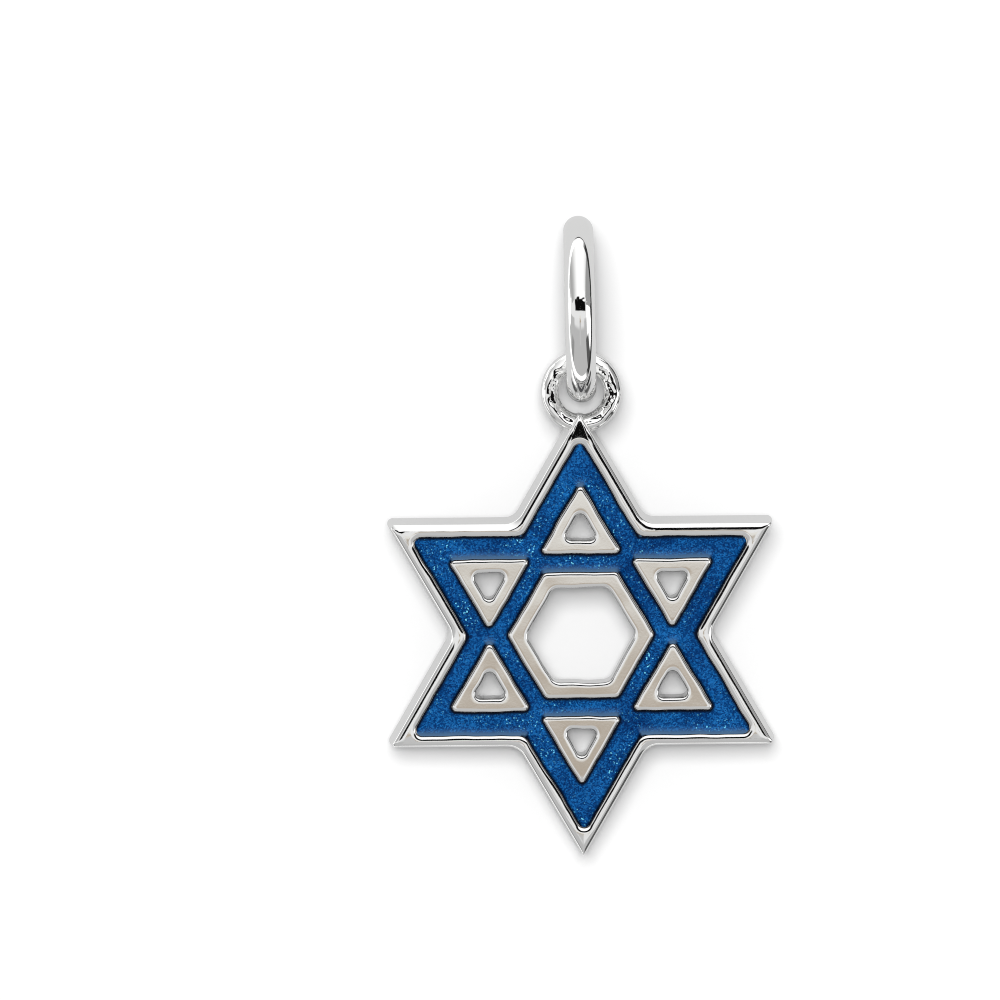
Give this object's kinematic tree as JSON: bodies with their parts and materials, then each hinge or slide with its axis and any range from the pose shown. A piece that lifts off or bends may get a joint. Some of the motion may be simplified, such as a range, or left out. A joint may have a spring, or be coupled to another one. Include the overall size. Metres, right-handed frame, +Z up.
{
  "type": "star of david pendant",
  "caption": "Small cast silver charm: a pierced six-pointed star with blue enamelled channels, hanging by its eye from a round jump ring.",
  "frame": {"origin": "inside top of the jump ring, where the chain or cord that carries the charm lies", "axes": "+Z up, away from the star; the star stands in the XZ plane and faces -Y; the jump ring stands in the YZ plane, so a chain passes through it along X"},
  "size_m": [0.0122, 0.0058, 0.0203],
  "materials": {
    "silver": "bright polished silver",
    "blue_enamel": "glossy translucent blue enamel with fine glitter"
  },
  "bodies": {
    "ring": {"jump_ring": "silver"},
    "charm": {"star": "silver", "enamel": "blue_enamel"}
  },
  "joints": [
    {"name": "charm_swing", "type": "hinge", "parent": "ring", "child": "charm", "pos_m": [0, 0, -0.00447], "axis": [0, 1, 0], "range_deg": [-135, 135]}
  ]
}
